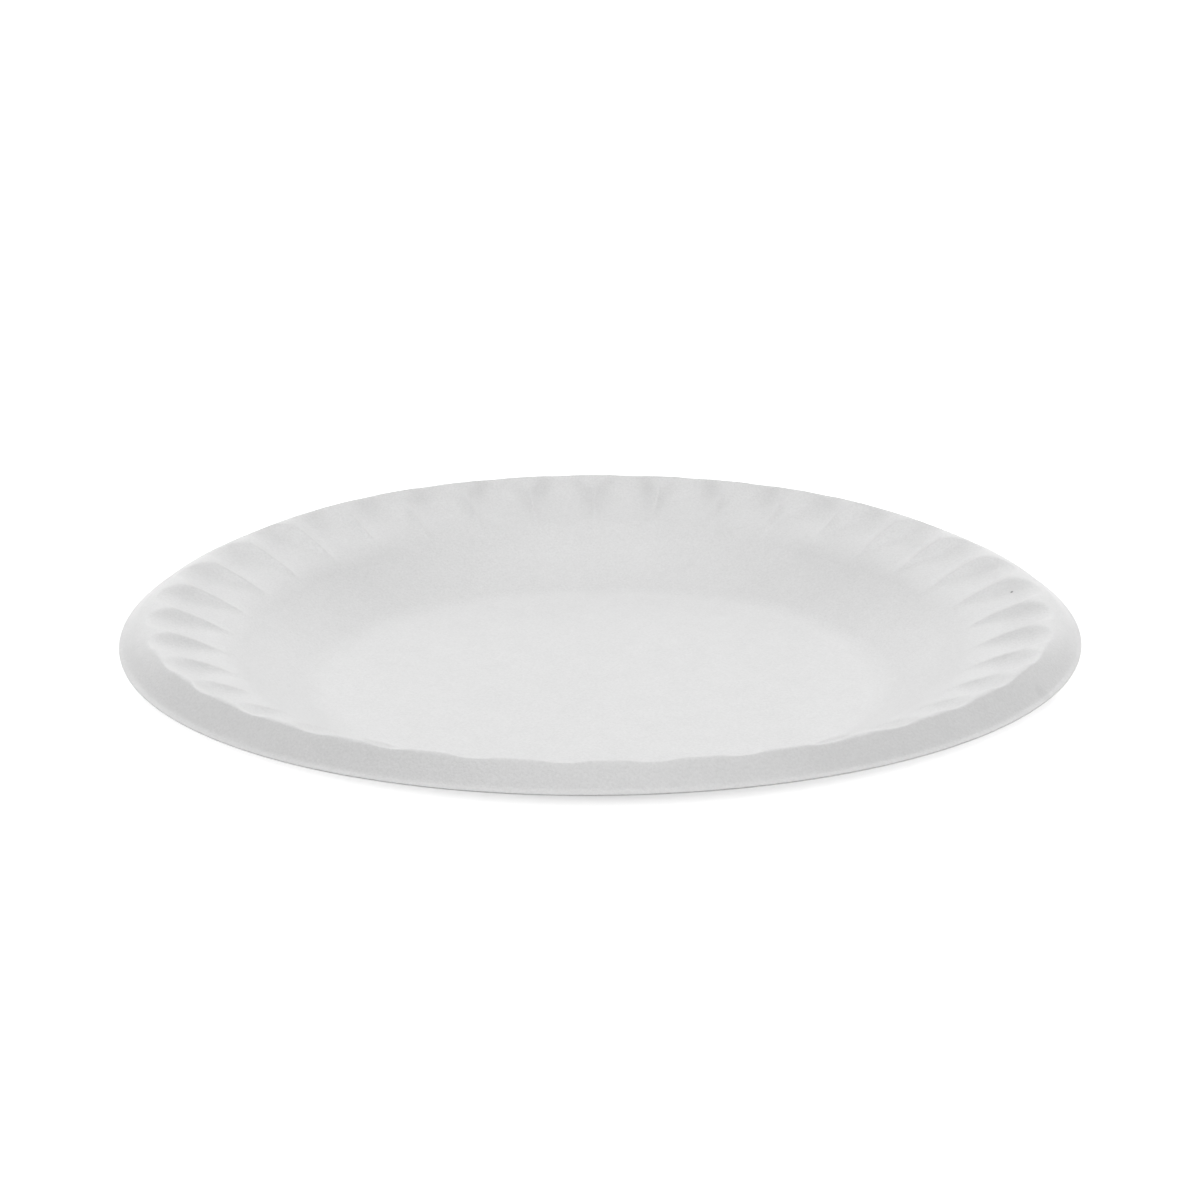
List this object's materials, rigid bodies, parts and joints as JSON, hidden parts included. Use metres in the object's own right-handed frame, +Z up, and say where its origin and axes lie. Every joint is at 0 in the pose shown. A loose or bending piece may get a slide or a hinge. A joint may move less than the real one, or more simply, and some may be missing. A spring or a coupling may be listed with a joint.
{
  "type": "foam plate",
  "caption": "Shallow round foam plate with a flat floor, a sloping fluted side wall and a turned-down outer rim with a thin crimped lip.",
  "frame": {"origin": "the middle of the underside of the floor, on the plane that the plate stands on", "axes": "+Z up along the plate's axis; +X and +Y each run along a ridge of the fluted wall"},
  "size_m": [0.1524, 0.1524, 0.0158],
  "materials": {
    "foam": "matte white polystyrene foam with a fine grain"
  },
  "bodies": {
    "root": {"foam_plate": "foam"}
  },
  "joints": []
}
